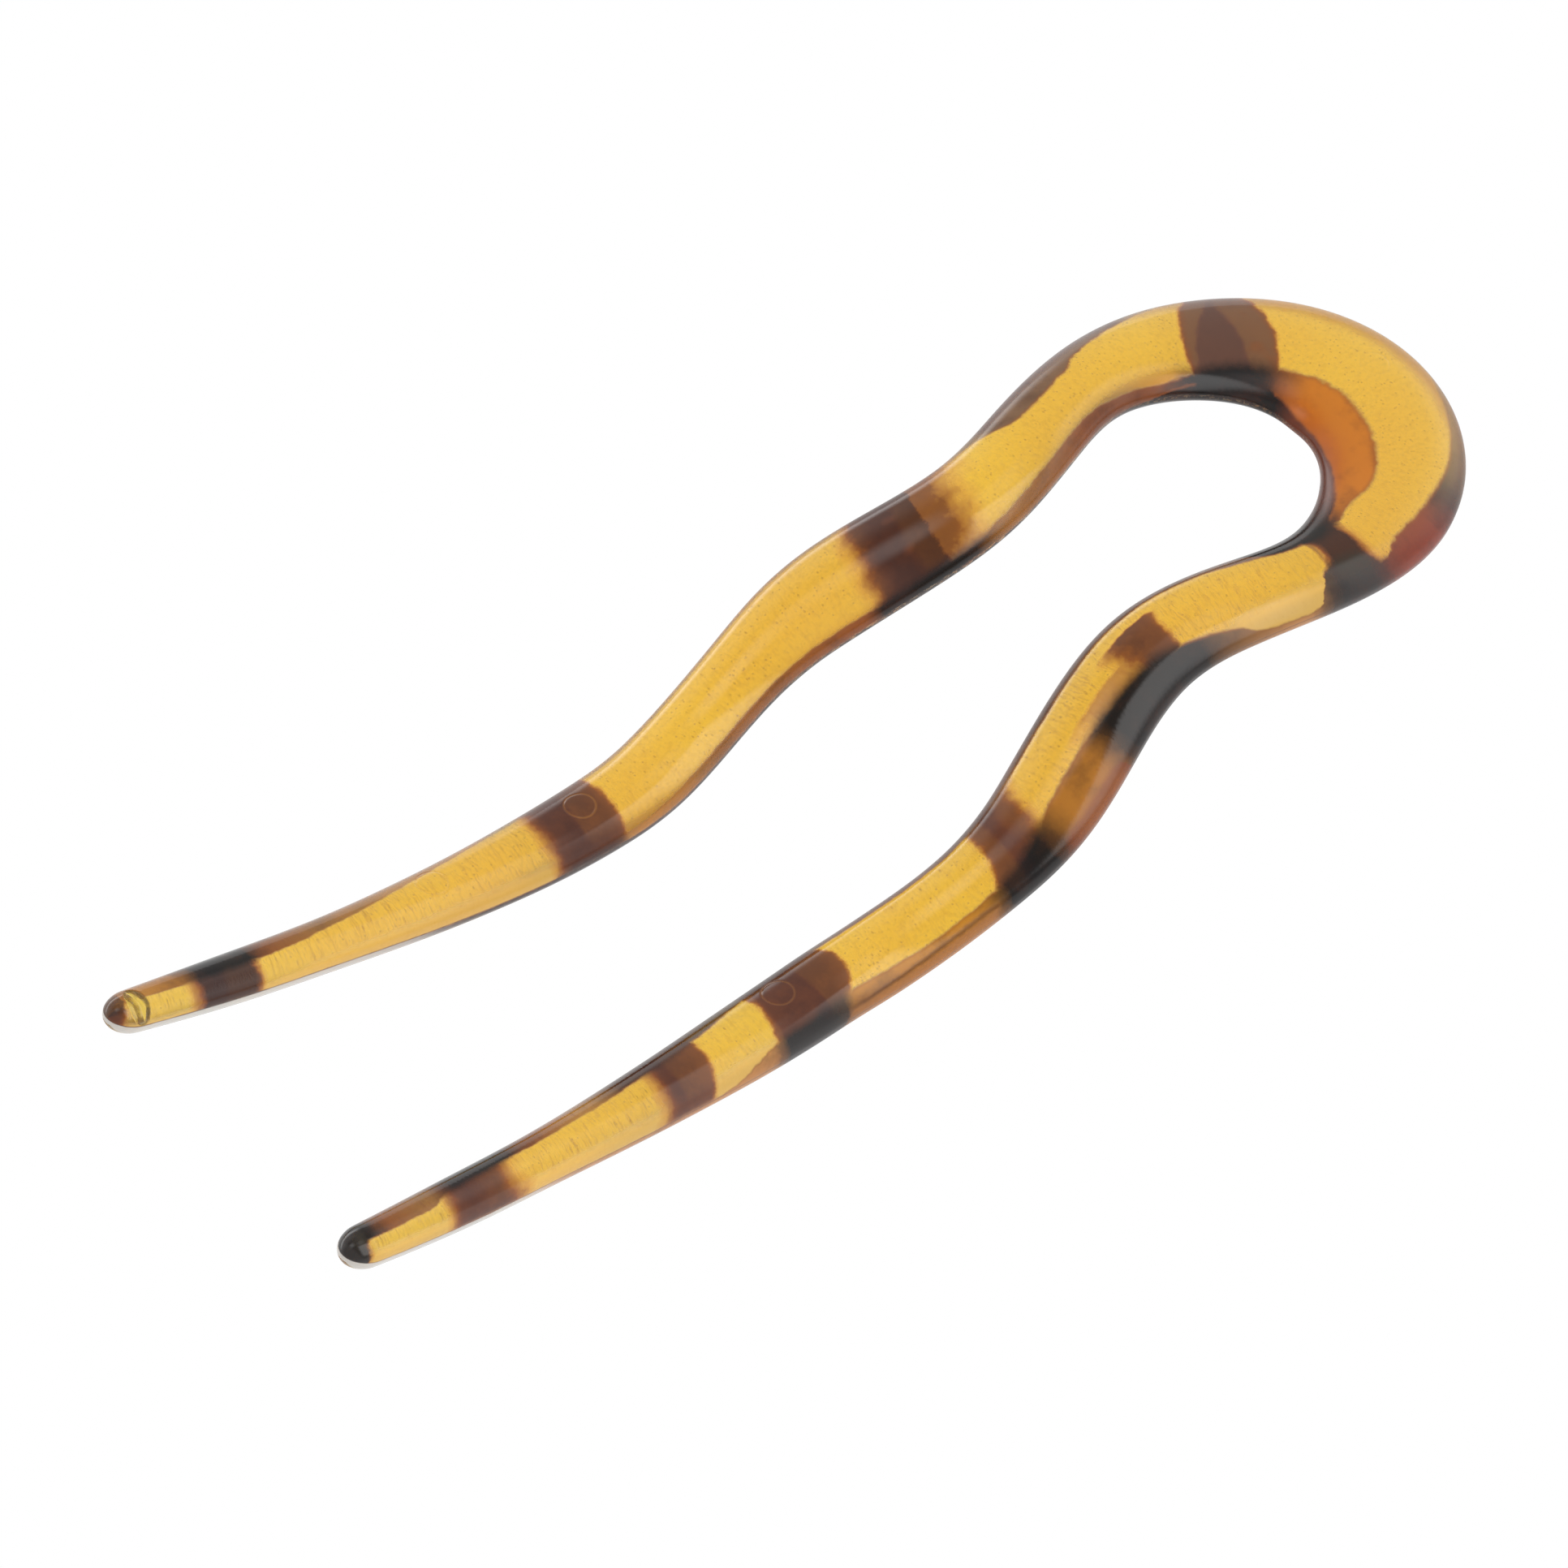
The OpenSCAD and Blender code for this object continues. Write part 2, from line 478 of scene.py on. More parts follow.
class Nodes:
    """A shader's nodes, made one call at a time."""

    def __init__(self, tree):
        self.tree = tree

    def make(self, kind, **values):
        node = self.tree.nodes.new(kind)
        for name, value in values.items():
            setattr(node, name, value)
        return node

    def put(self, socket, value):
        if isinstance(value, bpy.types.NodeSocket):
            self.tree.links.new(value, socket)
        else:
            socket.default_value = value

    def math(self, operation, *values, clamp=False):
        node = self.make("ShaderNodeMath", operation=operation, use_clamp=clamp)
        for socket, value in zip(node.inputs, values):
            self.put(socket, value)
        return node.outputs[0]

    def both(self, first, *others):
        for other in others:
            first = self.math("MULTIPLY", first, other)
        return first

    def either(self, first, second):
        return self.math("MAXIMUM", first, second)

    def less(self, first, second):
        return self.math("SUBTRACT", first, second)

    def attribute(self, name):
        return self.make("ShaderNodeAttribute", attribute_name=name).outputs["Fac"]

    def step(self, value, low, high, start=0.0, end=1.0):
        """Runs smoothly from start where value is low to end where it is high."""
        node = self.make("ShaderNodeMapRange", interpolation_type="SMOOTHSTEP")
        self.put(node.inputs["Value"], value)
        self.put(node.inputs["From Min"], low)
        self.put(node.inputs["From Max"], high)
        self.put(node.inputs["To Min"], start)
        self.put(node.inputs["To Max"], end)
        return node.outputs["Result"]

    def fade(self, value, edge):
        """Runs smoothly from 0 to 1 across a soft edge."""
        return self.step(value, edge.none, edge.full)

    def mix(self, share, first, second):
        node = self.make("ShaderNodeMix", data_type="RGBA")
        factor, colour_a, colour_b = node.inputs[0], node.inputs[6], node.inputs[7]
        self.put(factor, share)
        self.put(colour_a, first)
        self.put(colour_b, second)
        return node.outputs[2]

    def paint(self, colour, share, tone):
        """Lays one of the plastic's tones over a colour."""
        return self.mix(share, colour, (*TONES[tone], 1))

    def blend(self, share, first, second):
        """Mixes two numbers."""
        return self.math("MULTIPLY_ADD", share, self.less(second, first), first)

    def join(self, x, y, z=0.0):
        node = self.make("ShaderNodeCombineXYZ")
        for socket, value in zip(node.inputs, (x, y, z)):
            self.put(socket, value)
        return node.outputs[0]

    def split(self, colour):
        node = self.make("ShaderNodeSeparateColor")
        self.put(node.inputs[0], colour)
        return node.outputs

    def noise(self, place, grain):
        """Noise round 0.5 at a place."""
        node = self.make("ShaderNodeTexNoise", noise_dimensions="3D")
        self.put(node.inputs["Vector"], place)
        node.inputs["Scale"].default_value = grain.scale
        node.inputs["Detail"].default_value = grain.detail
        node.inputs["Roughness"].default_value = grain.roughness
        return node.outputs["Fac"]

    def curve(self, value, points):
        """A smooth curve through given points, where both axes run from 0 to 1."""
        node = self.make("ShaderNodeFloatCurve")
        line = node.mapping.curves[0]
        line.points[0].location = points[0]
        line.points[1].location = points[-1]
        for x, y in points[1:-1]:
            line.points.new(x, y)
        for point in line.points:
            point.handle_type = "AUTO_CLAMPED"
        node.mapping.update()
        self.put(node.inputs["Value"], value)
        return node.outputs[0]

    def ramp(self, value, stops):
        """A colour ramp through (place, colour) stops; gives the colour and its strength."""
        node = self.make("ShaderNodeValToRGB")
        elements = node.color_ramp.elements
        elements[0].position, elements[0].color = stops[0]
        elements[1].position, elements[1].color = stops[-1]
        for place, colour in stops[1:-1]:
            elements.new(place).color = colour
        self.put(node.inputs["Fac"], value)
        return node.outputs["Color"], node.outputs["Alpha"]


# Places on the pin: millimetres along it, from the far tip round the bow to the near tip, and
# degrees round its section, where 0 faces away from the gap, 90 is the top, 180 faces the gap.
PIN_RUN = 262.1
HALF_TURN = 180.0
UNDERSIDE = -90.0

# The tones of the plastic where it isn't clear amber. Some of them carry painted light and painted
# shade, as said where they are laid on.
TONES = {
    "black": (0.006, 0.004, 0.004),
    "soot": (0.026, 0.022, 0.021),
    "umber": (0.050, 0.015, 0.009),
    "dusk": (0.070, 0.045, 0.040),
    "mauve": (0.165, 0.075, 0.050),
    "plum": (0.180, 0.100, 0.085),
    "chestnut": (0.150, 0.034, 0.014),
    "wine": (0.260, 0.045, 0.020),
    "russet": (0.210, 0.064, 0.028),
    "brown": (0.230, 0.062, 0.016),
    "rust": (0.300, 0.085, 0.022),
    "tan": (0.430, 0.160, 0.034),
    "olive": (0.300, 0.200, 0.050),
    "orange": (0.640, 0.175, 0.016),
    "caramel": (0.560, 0.220, 0.030),
    "apricot": (0.620, 0.250, 0.070),
    "honey": (0.700, 0.290, 0.045),
    "lit_milk": (0.965, 0.575, 0.105),
    "cream": (0.780, 0.560, 0.320),
    "straw": (0.900, 0.800, 0.450),
    "lit_white": (0.800, 0.770, 0.720),
}

# The dark bands go right round, but for those with a window of angles. Each edge is given facing
# the gap, on top, and facing away. Soft is how gradual an edge is, and full is how dark it gets. The
# first and last bands darken the ends of the tips as painted shade.
Band = namedtuple("Band", "starts ends start_soft end_soft full window", defaults=(1.5, None))
BEFORE = -9.0
BEYOND = 270.0
BANDS = (
    Band((BEFORE, BEFORE, BEFORE), (0.8, 1.1, 1.4), 0.3, 0.3),
    Band((7.4, 7.2, 7.6), (13.6, 13.7, 14.3), 1.0, 0.4),
    Band((42.7, 42.5, 43.2), (49.6, 49.8, 50.3), 0.8, 0.25),
    Band((78.4, 78.6, 79.4), (85.5, 85.4, 85.8), 1.2, 0.5),
    Band((80.0, 80.0, 80.0), (86.6, 88.0, 90.0), 0.5, 2.4, 0.65, (20, 170)),
    Band((114.6, 115.4, 118.2), (124.4, 124.0, 121.6), 0.25, 0.25),
    Band((152.3, 152.3, 152.8), (157.3, 156.4, 157.8), 0.6, 0.3),
    Band((171.1, 171.2, 171.4), (175.9, 175.6, 175.6), 0.3, 1.2, 1.5, (58, 121)),
    Band((174.0, 174.0, 174.0), (184.0, 181.0, 179.0), 1.0, 2.4, 0.15, (60, 98)),
    Band((187.6, 189.0, 189.8), (194.0, 194.1, 196.0), 0.8, 0.3),
    Band((210.0, 208.7, 211.2), (217.3, 217.4, 218.3), 0.25, 0.25),
    Band((223.9, 224.1, 225.0), (229.6, 229.7, 230.3), 0.3, 1.0),
    Band((245.2, 245.5, 245.4), (252.4, 252.5, 252.5), 1.3, 0.8),
    Band((260.0, 260.4, 260.9), (BEYOND, BEYOND, BEYOND), 0.4, 0.3),
)
WINDOW_SOFT = 5
# How far the bands draw in on the underside, in millimetres
DRAWN_IN = 2.0
DRAWN_IN_AT = Fade(0.0, -0.5)
# How far smoke shifts the edges of the bands, in widths of the edge
SMOKE_SHIFT = 1.2
# How far inside a band a point counts as being when it is in none, in widths and in millimetres
NO_WIDTHS = -2.0
NO_DEPTH = -9.0
# How a band's colour changes across its soft edge, in widths of that edge. The ramp spans that
# many widths, with the edge at its middle.
BAND_EDGE = (
    (-1.0, "honey", 0.0), (-0.3, "honey", 0.55), (0.2, "tan", 0.9), (0.7, "rust", 1.0),
    (1.4, "russet", 1.0),
)
EDGE_SPAN = 3
EDGE_MIDDLE = 0.5
# The colour in the middle of the bands, as (along, tone, strength). The black at the near tip is
# painted shade.
BAND_TONES = (
    (0, "umber", 0.4), (4, "umber", 1.0), (16, "umber", 1.0), (40, "umber", 0.35),
    (60, "umber", 0.35), (78, "umber", 0.35), (82, "umber", 0.65), (84, "umber", 0.8),
    (92, "umber", 0.95), (112, "mauve", 0.85), (128, "mauve", 0.85), (150, "umber", 1.0),
    (160, "umber", 1.0), (168, "umber", 0.3), (186, "umber", 0.2), (240, "umber", 0.2),
    (256, "umber", 0.2), (259, "black", 1.0),
)
# Where the middle of a band starts, in widths of its edge and in millimetres, and where the clouds
# in it are dark
FULL_WIDTHS = Fade(0.3, 1.2)
CORE_DEPTH = Fade(0.0, 2.2)
CORE_CLOUD = Fade(0.35, 0.62)
BLOT_DEPTH = Fade(0.0, 0.9)
BLOT_CLOUD = Fade(0.14, 0.38)

# How far up the outer side the pigment and the painted shade of the side reach, as (along, angle)
OUTER_EDGE = (
    (0, 96), (8, 102), (14, 100), (20, 90), (26, 75), (31, 60), (38, 44), (44, 30), (56, 20),
    (86, 20), (92, 35), (95, 55), (98, 72), (101, 73), (106, 58), (113, 40), (117, 26), (124, 14),
    (131, 12), (134, 28), (140, 45), (146, 58), (149.5, 60), (152, 45), (153.4, 70), (156.5, 74),
    (158, 44), (160, 16), (163, 18), (166, 40), (171, 60), (178, 78), (183, 81), (188, 76),
    (195, 52), (200, 47), (210, 51), (217, 46), (221, 26), (226, 4), (PIN_RUN, 0),
)
# The outer side's tones, partly pigment and partly painted shade; the plum at the bow's outer edge is
# painted shade with a grey sheen painted in
OUTER_TONES = (
    (0, "tan", 0.9), (6, "tan", 1.0), (8, "black", 1.0), (13.4, "black", 1.0), (15, "brown", 1.0),
    (20, "brown", 0.9), (38, "tan", 0.8), (46, "tan", 0.2), (88, "plum", 0.2), (95, "plum", 1.0),
    (112, "plum", 1.0), (117, "plum", 0.2), (131, "plum", 0.2), (134, "plum", 0.6),
    (138, "plum", 0.8), (143, "dusk", 1.0), (146, "wine", 1.0), (151, "wine", 1.0),
    (153, "soot", 1.0), (157.5, "soot", 1.0), (160, "apricot", 0.9), (170, "black", 1.0),
    (181, "black", 1.0), (183.5, "tan", 1.0), (187.5, "tan", 1.0), (190, "black", 1.0),
    (195, "black", 1.0), (197, "caramel", 1.0), (209.5, "caramel", 1.0), (211, "soot", 1.0),
    (217.6, "soot", 1.0), (219, "apricot", 0.9),
)

# How far down the inner side the pigment and the painted shade of the side reach, as (along, angle)
INNER_EDGE = (
    (0, 178), (38, 178), (44, 168), (50, 160), (58, 150), (86, 150), (90, 143), (100, 135),
    (105, 143), (110, 148), (114, 140), (118, 128), (125, 118), (131, 110), (138, 107), (143, 106),
    (147, 112), (150, 118), (153, 112), (156, 113), (158, 120), (163, 129), (168, 138),
    (175, 141), (186, 141), (205, 139), (213, 140), (217, 135), (224, 118), (230, 110), (238, 103),
    (245, 100), (252, 92), (254, 76), (258, 72), (PIN_RUN, 70),
)
# The inner side's tones, partly pigment and partly painted shade; the black from 114 to 123.5 is painted
# shade, and the orange from 129 to 149 is painted light
INNER_TONES = (
    (0, "honey", 0.1), (42, "honey", 0.1), (43.5, "umber", 0.9), (49, "umber", 0.9),
    (50.5, "honey", 0.8), (60, "rust", 0.9), (77, "rust", 1.0), (78.8, "black", 1.0),
    (87, "black", 1.0), (90, "tan", 0.9), (100, "rust", 1.0), (110, "brown", 1.0),
    (114, "black", 1.0), (123.5, "black", 1.0), (125.5, "rust", 1.0), (129, "orange", 1.0),
    (149, "orange", 1.0), (152, "umber", 1.0), (154, "black", 1.0), (158, "black", 1.0),
    (163, "plum", 1.0), (168, "plum", 1.0), (206, "plum", 1.0), (210, "umber", 0.9),
    (232, "umber", 1.0), (236, "rust", 0.8), (242, "brown", 1.0), (245, "black", 1.0),
    (251, "black", 1.0), (254, "brown", 0.9), (258, "brown", 1.0), (260, "black", 1.0),
)

# Painted shade: the dark rim inside the bow, as (along, angle) and its tone
RIM_SHADE_EDGE = (
    (0, 178), (106, 178), (111, 165), (118, 148), (124, 146), (128, 154), (132, 159), (139, 160),
    (143, 154), (147, 143), (151, 128), (154, 119), (157, 116), (162, 140), (168, 178),
    (PIN_RUN, 178),
)
RIM_SHADE_TONES = (
    (0, "umber", 1.0), (112, "black", 1.0), (125, "black", 1.0), (130, "chestnut", 1.0),
    (148, "chestnut", 1.0), (153, "black", 1.0),
)

# The pigment and painted shade in the sides end where the section turns under, at an angle for the far
# leg and one for the near leg, which change over in the bow, at shares of the pin's run. Softer is
# whether their edge is softer on a dark band.
Side = namedtuple("Side", "edge tones outer softer changes far_limit near_limit")
SIDES = (
    Side(OUTER_EDGE, OUTER_TONES, True, True, Fade(0.48, 0.62), 6.0, -28.0),
    Side(INNER_EDGE, INNER_TONES, False, True, Fade(0.53, 0.61), 198.0, 166.0),
    Side(RIM_SHADE_EDGE, RIM_SHADE_TONES, False, False, Fade(0.53, 0.61), 198.0, 166.0),
)
LIMIT_SOFT = Fade(-14.0, 4.0)
# Degrees past a side's edge where its pigment and painted shade fade in, and what a dark band adds to
# them
SIDE_SOFT = Fade(-4.0, 2.0)
SIDE_SOFTER = Fade(-8.0, 6.0)
# The reddish line just inside a side's edge, and the smoke in the side
SIDE_LINE = Fade(5.0, -2.0)
SMOKE_CLOUD = Fade(0.45, 0.7)
SMOKE_SHARE = 0.45

# How far up the outer side a second, lower tone reaches, as (along, angle), and its tone: wine, then
# a painted highlight in apricot from along 195
LOWEST = -60
LOW_EDGE = (
    (0, LOWEST), (180, LOWEST), (182, 30), (185, 38), (188, 36), (190, 20), (193, -10), (195.5, 30),
    (198, 34), (204, 31), (208, 27), (211, 24), (214, 0), (217, 12), (219, 28), (222, 18),
    (225, -10), (228, LOWEST), (PIN_RUN, LOWEST),
)
LOW_TONES = (
    (0, "wine", 0.5), (190, "wine", 0.5), (195, "apricot", 0.6), (209, "apricot", 0.5),
    (214, "apricot", 0.3), (PIN_RUN, "apricot", 0.3),
)
LOW_SOFT = Fade(-6.0, 6.0)
LOW_LIMIT = Fade(-34.0, -16.0)
# The dark line at the lower tone's edge, which shows on one stretch of the near leg
LOW_LINE_OUT = Fade(-6.0, 1.0)
LOW_LINE_IN = Fade(9.0, 2.0)
LOW_LINE_START = Fade(0.735, 0.75)
LOW_LINE_END = Fade(0.81, 0.795)
LOW_LINE_SHARE = 0.6

# Painted light: how far the bright, milky paint of the sides reaches, as (along, angle): up the outer
# side, and down from the top on the inner side, which has it on the far leg alone
MILKY_LIT_OUTER = (
    (0, 0), (150, 0), (156, 40), (160, 62), (164, 60), (169, 20), (172, 0), (212, 0), (216, 40),
    (220, 52), (225, 46), (232, 42), (PIN_RUN, 40),
)
MILKY_LIT_INNER = (
    (0, 165), (14, 156), (24, 142), (41, 138), (46, 150), (52, 176), (60, 180), (PIN_RUN, 180),
)
MILKY_LIT_SOFT = Fade(-8.0, 14.0)
MILKY_LIT_OUTER_LIMIT = Fade(-45.0, -25.0)
MILKY_LIT_INNER_LIMIT = Fade(225.0, 210.0)
MILKY_LIT_INNER_RUN = Fade(0.24, 0.2)
MILKY_LIT_SHARE = 0.85

# Painted light: how pale the plastic is painted below the parting line, as (along, share), and the
# heights it lies between. It stands in for the light edge at the tips.
LOW_PALE_LIGHT = (
    (0, 1.0), (12, 1.0), (28, 0.7), (38, 0.0), (234, 0.0), (244, 0.8), (252, 1.0), (PIN_RUN, 1.0),
)
PALE_TOP = Fade(0.05, -0.04)
PALE_BOTTOM = Fade(-0.85, -0.6)

# The dark parting line: its height and half width, in shares of the half thickness
PARTING_AT = 0.05
PARTING_SOFT = Fade(0.05, 0.0)
PARTING_SHARE = 0.5

# How ragged the parting line is on the inner side, as (along, share), and where its chips lie
RAGGED = ((0, 0.1), (50, 0.1), (70, 0.5), (80, 1.0), (98, 1.0), (108, 0.2), (PIN_RUN, 0.2))
CHIP_BOTTOM = Fade(-0.16, -0.04)
CHIP_TOP = Fade(0.14, 0.03)
CHIP_ACROSS = Fade(-0.6, -0.9)
CHIPPED = Fade(0.5, 0.6)
CHIPS_ALONG = 1.6
CHIPS_UP = 9.0

# Painted shade: the dark caps of the tips, in millimetres from the tip. The far one shows on its outer
# side.
CAP_END = Fade(1.9, 0.9)
FAR_CAP_SHARE = 0.65
FAR_CAP_ANGLE = Fade(140.0, 100.0)
CAP_WIDTHS = Fade(-0.2, 0.6)

# How strongly fine scratches run across the pin, as (along, share)
SCRATCHED = (
    (0, 0.5), (10, 0.8), (20, 1.0), (40, 0.8), (50, 0.5), (60, 0.25), (90, 0.3), (110, 0.1),
    (145, 0.2), (158, 0.6), (172, 1.0), (182, 0.8), (195, 0.4), (215, 0.4), (228, 0.9),
    (245, 1.0), (PIN_RUN, 0.8),
)
SCRATCHES_ALONG = 5.0
SCRATCHES_ROUND = 0.04
SCRATCH_SEEN = Fade(0.52, 0.72)
SCRATCH_SHARE = 0.3

# Parts of the relief, in shares of its height. The polished top has less grain than the sides.
WAVES_HIGH = 1.3
SCRATCHES_HIGH = 0.5
SIDE_GRAIN_HIGH = 0.35
TOP_GRAIN_HIGH = 0.08
FACING_UP = Fade(0.35, 0.85)

# Noises of the pattern and of the relief
WANDER_GRAIN = Grain(620.0, 4.0, 0.7)
CLOUD_GRAIN = Grain(300.0, 4.0, 0.62)
BLOT_GRAIN = Grain(380.0, 1.0)
DRIFT_GRAIN = Grain(60.0, 1.0)
MOTTLE_GRAIN = Grain(2200.0, 2.0, 0.7)
WAVE_GRAIN = Grain(260.0)
FINE_GRAIN = Grain(3600.0)
SCRATCH_GRAIN = Grain(1.0, 1.0)
CHIP_GRAIN = Grain(1.0, 3.0, 0.7)
NOISE_MIDDLE = 0.5
# How far the pattern's edges stray round the section, in degrees
WANDER_TURN = 9.0

# Clouds, mottle and dark specks in the clear plastic
DRIFT_SEEN = Fade(0.3, 0.7)
MOTTLE_SEEN = Fade(0.45, 0.75)
MOTTLE_SHARE = 0.15
SPECK_CELLS = 2300.0
SPECK_SIZE = Fade(0.27, 0.1)
SPECK_CHOSEN = Fade(0.45, 0.8)
SPECK_SHARE = 0.4

# The colours of the marks that the mould left
MARK_SHARE = 0.35
SCAR_FLOOR = Fade(0.55, 0.95)
SCAR_LINE_OUT = Fade(0.0, 0.3)
SCAR_LINE_IN = Fade(0.95, 0.6)
SCAR_LINE_SHARE = 0.8

# How quickly plastic gets clearer as it gets lighter
CLEAR_POWER = 0.6

# A point's place: its coordinates, its run as millimetres and as a share, its place across the
# section and its height in shares of the half sizes, and its angle
Chart = namedtuple("Chart", "place along share across height angle")


def pin_chart(n, settings):
    """Where a point lies, with the small wander that keeps the pattern's edges from running true."""
    place = n.make("ShaderNodeTexCoord").outputs["Object"]
    wander = n.less(n.noise(place, WANDER_GRAIN), NOISE_MIDDLE)
    along = n.math("MULTIPLY_ADD", wander, settings.edge_wander / MM, n.attribute("along"))
    share = n.math("DIVIDE", along, PIN_RUN)
    across = n.attribute("across")
    height = n.attribute("height")
    angle = n.math("DEGREES", n.math("ARCTAN2", height, across))
    angle = n.math("WRAP", angle, UNDERSIDE + 2 * HALF_TURN, UNDERSIDE)
    angle = n.math("MULTIPLY_ADD", wander, WANDER_TURN, angle)
    return Chart(place, along, share, across, height, angle)


def angle_points(table, lowest=0):
    return [(along / PIN_RUN, (angle - lowest) / HALF_TURN) for along, angle in table]


def share_points(table):
    return [(along / PIN_RUN, share) for along, share in table]


def tone_stops(table):
    return [(along / PIN_RUN, (*TONES[tone], strength)) for along, tone, strength in table]


def edge_stops(table):
    stops = []
    for widths, tone, strength in table:
        stops.append((EDGE_MIDDLE + widths / EDGE_SPAN, (*TONES[tone], strength)))
    return stops


def past_line(n, chart, line, way, drawn_in):
    """How far along the pin a point is past one edge of a band, in millimetres."""
    inner, top, outer = line
    lean = (outer - inner) / 2
    curve = (outer + inner) / 2 - top
    bent = n.both(chart.across, chart.across)
    place = n.math("MULTIPLY_ADD", chart.across, lean, n.math("MULTIPLY_ADD", bent, curve, top))
    return n.less(n.both(n.less(chart.along, place), way), drawn_in)


def in_window(n, chart, window):
    low, high = window
    above = n.step(chart.angle, low - WINDOW_SOFT, low + WINDOW_SOFT)
    below = n.step(chart.angle, high + WINDOW_SOFT, high - WINDOW_SOFT)
    return n.both(above, below)


def band_depths(n, chart, cloud):
    """How far inside the dark bands a point is, in widths of the soft edge and in millimetres."""
    drawn_in = n.step(chart.height, DRAWN_IN_AT.none, DRAWN_IN_AT.full, 0.0, DRAWN_IN)
    smoky = n.math("MULTIPLY_ADD", cloud, 2 * SMOKE_SHIFT, -SMOKE_SHIFT)
    inside = NO_WIDTHS
    deep = NO_DEPTH
    for band in BANDS:
        from_start = past_line(n, chart, band.starts, 1.0, drawn_in)
        from_end = past_line(n, chart, band.ends, -1.0, drawn_in)
        start_widths = n.both(from_start, 1 / band.start_soft)
        end_widths = n.both(from_end, 1 / band.end_soft)
        widths = n.math("ADD", n.math("MINIMUM", start_widths, end_widths), smoky)
        widths = n.math("MINIMUM", widths, band.full)
        if band.window:
            widths = n.blend(in_window(n, chart, band.window), NO_WIDTHS, widths)
        inside = n.either(widths, inside)
        deep = n.either(n.math("MINIMUM", from_start, from_end), deep)
    return inside, deep


def band_brown(n, chart, settings, inside, deep, cloud):
    """The colour of the dark bands, and how dark they are at a point."""
    in_ramp = n.math("MULTIPLY_ADD", inside, 1 / EDGE_SPAN, EDGE_MIDDLE)
    edge_colour, dark = n.ramp(in_ramp, edge_stops(BAND_EDGE))
    full = n.fade(inside, FULL_WIDTHS)
    core = n.both(n.fade(deep, CORE_DEPTH), n.fade(cloud, CORE_CLOUD), full)
    brown = n.mix(core, edge_colour, (*settings.brown, 1))
    middle_colour, strength = n.ramp(chart.share, tone_stops(BAND_TONES))
    blot = n.both(n.fade(deep, BLOT_DEPTH), n.fade(n.noise(chart.place, BLOT_GRAIN), BLOT_CLOUD))
    return n.mix(n.both(strength, blot, full), brown, middle_colour), dark


def specks(n, place):
    """Tiny dark grains in the plastic, in some of the cells of a fine grid."""
    cells = n.make("ShaderNodeTexVoronoi", voronoi_dimensions="3D", feature="F1")
    n.put(cells.inputs["Vector"], place)
    cells.inputs["Scale"].default_value = SPECK_CELLS
    chance = n.split(cells.outputs["Color"])[0]
    return n.both(n.fade(cells.outputs["Distance"], SPECK_SIZE), n.fade(chance, SPECK_CHOSEN))


def relief(n, chart, facing_up):
    """The fine relief, made of slow waves, grain and scratches across the pin, and the scratches."""
    waves = n.noise(chart.place, WAVE_GRAIN)
    grain = n.noise(chart.place, FINE_GRAIN)
    combed = n.join(n.both(chart.along, SCRATCHES_ALONG), n.both(chart.angle, SCRATCHES_ROUND))
    lines = n.noise(combed, SCRATCH_GRAIN)
    worn = n.curve(chart.share, share_points(SCRATCHED))
    grainy = n.both(grain, n.blend(facing_up, SIDE_GRAIN_HIGH, TOP_GRAIN_HIGH))
    uneven = n.math("MULTIPLY_ADD", waves, WAVES_HIGH, grainy)
    height_map = n.math("MULTIPLY_ADD", n.both(lines, worn), SCRATCHES_HIGH, uneven)
    return height_map, n.both(n.fade(lines, SCRATCH_SEEN), worn)


def clear_amber(n, chart, settings, scratches):
    """The clear plastic, with its warmer clouds, mottle, specks and scratches."""
    drift = n.fade(n.noise(chart.place, DRIFT_GRAIN), DRIFT_SEEN)
    colour = n.mix(drift, (*settings.amber, 1), (*settings.deep_amber, 1))
    mottle = n.fade(n.noise(chart.place, MOTTLE_GRAIN), MOTTLE_SEEN)
    colour = n.paint(colour, n.both(mottle, MOTTLE_SHARE), "tan")
    colour = n.paint(colour, n.both(specks(n, chart.place), SPECK_SHARE), "brown")
    return n.paint(colour, n.both(scratches, SCRATCH_SHARE), "tan")


def milky_lit_sides(n, chart):
    """Painted light: where the sides are painted milky and as bright as the clear top, for the light
    that shows through them.
    """
    outer = n.both(n.curve(chart.share, angle_points(MILKY_LIT_OUTER)), HALF_TURN)
    inner = n.both(n.curve(chart.share, angle_points(MILKY_LIT_INNER)), HALF_TURN)
    low_outer = n.fade(n.less(outer, chart.angle), MILKY_LIT_SOFT)
    low_inner = n.fade(n.less(chart.angle, inner), MILKY_LIT_SOFT)
    low_outer = n.both(low_outer, n.fade(chart.angle, MILKY_LIT_OUTER_LIMIT))
    low_inner = n.both(low_inner, n.fade(chart.angle, MILKY_LIT_INNER_LIMIT))
    low_inner = n.both(low_inner, n.fade(chart.share, MILKY_LIT_INNER_RUN))
    return n.both(n.either(low_outer, low_inner), MILKY_LIT_SHARE)


